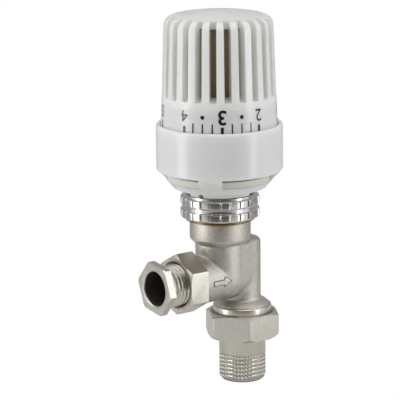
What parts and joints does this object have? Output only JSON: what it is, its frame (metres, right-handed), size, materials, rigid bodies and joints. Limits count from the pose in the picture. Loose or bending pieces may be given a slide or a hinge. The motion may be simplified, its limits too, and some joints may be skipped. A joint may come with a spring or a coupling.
{
  "type": "thermostatic radiator valve",
  "caption": "Thermostatic radiator valve: ribbed white sensor head over a nickel-plated axial valve body with compression inlet and threaded union tail.",
  "frame": {"origin": "centre of the tailpiece's end face, on the tail's axis", "axes": "+Z along the tail towards the head's dome, -X the way the inlet pipe leaves"},
  "size_m": [0.0657, 0.0556, 0.1675],
  "materials": {
    "white_abs": "semi-gloss moulded white ABS",
    "core_plastic": "moulded natural white acetal",
    "carrier_plastic": "moulded olive-brown polyamide",
    "chrome_nut": "polished chrome plate",
    "nickel_body": "blasted brass, satin nickel plate",
    "nickel_turned": "turned brass, nickel plate",
    "bare_brass": "turned bare brass",
    "spring_steel": "bright stainless wire and strip",
    "seal_rubber": "matt black rubber",
    "capsule_copper": "drawn copper alloy"
  },
  "bodies": {
    "valve": {"valve_body": "nickel_body", "insert_housing": "bare_brass", "insert_oring": "seal_rubber", "stuffing_screw": "bare_brass", "stem_oring": "seal_rubber", "spring_seat": "spring_steel", "return_spring": "spring_steel", "guide_core": "core_plastic", "retaining_ring": "spring_steel", "base_collar": "white_abs", "olive": "bare_brass", "tailpiece": "nickel_turned", "tail_seal": "seal_rubber"},
    "wheel": {"handwheel": "white_abs"},
    "head_nut": {"coupling_nut": "chrome_nut"},
    "tail_nut": {"union_nut": "nickel_turned"},
    "pipe_nut": {"gland_nut": "nickel_turned"},
    "sensor": {"sensor_carrier": "carrier_plastic", "sensor_capsule": "capsule_copper", "bellows": "bare_brass", "overtravel_spring": "spring_steel", "spring_retainer": "carrier_plastic"},
    "pin": {"thrust_pin": "core_plastic", "stem": "spring_steel", "stem_collar": "spring_steel", "plug_washer": "seal_rubber", "valve_plug": "bare_brass"}
  },
  "joints": [
    {"name": "handwheel_turn", "type": "hinge", "parent": "valve", "child": "wheel", "pos_m": [-0.012, 0, 0.1], "axis": [0, 0, 1], "range_deg": [-157.6, 78.8]},
    {"name": "sensor_lift", "type": "slide", "parent": "valve", "child": "sensor", "axis": [0, 0, 1], "range_m": [-0.00176, 0.00088], "deforming": ["return_spring"]},
    {"name": "pin_stroke", "type": "slide", "parent": "sensor", "child": "pin", "axis": [0, 0, 1], "range_m": [-0.001, 0.0005], "stiffness_N_per_m": 3000, "deforming": ["bellows", "return_spring"]},
    {"name": "coupling_nut_turn", "type": "hinge", "parent": "valve", "child": "head_nut", "pos_m": [-0.012, 0, 0.08], "axis": [0, 0, 1], "continuous": true},
    {"name": "union_nut_turn", "type": "hinge", "parent": "valve", "child": "tail_nut", "pos_m": [0, 0, 0.025], "axis": [0, 0, 1], "continuous": true},
    {"name": "gland_nut_turn", "type": "hinge", "parent": "valve", "child": "pipe_nut", "pos_m": [-0.045, 0, 0.049], "axis": [-1, 0, 0], "continuous": true}
  ],
  "couplings": [
    {"joint": "sensor_lift", "follows": "handwheel_turn", "m_per_rad": 0.00063662}
  ]
}
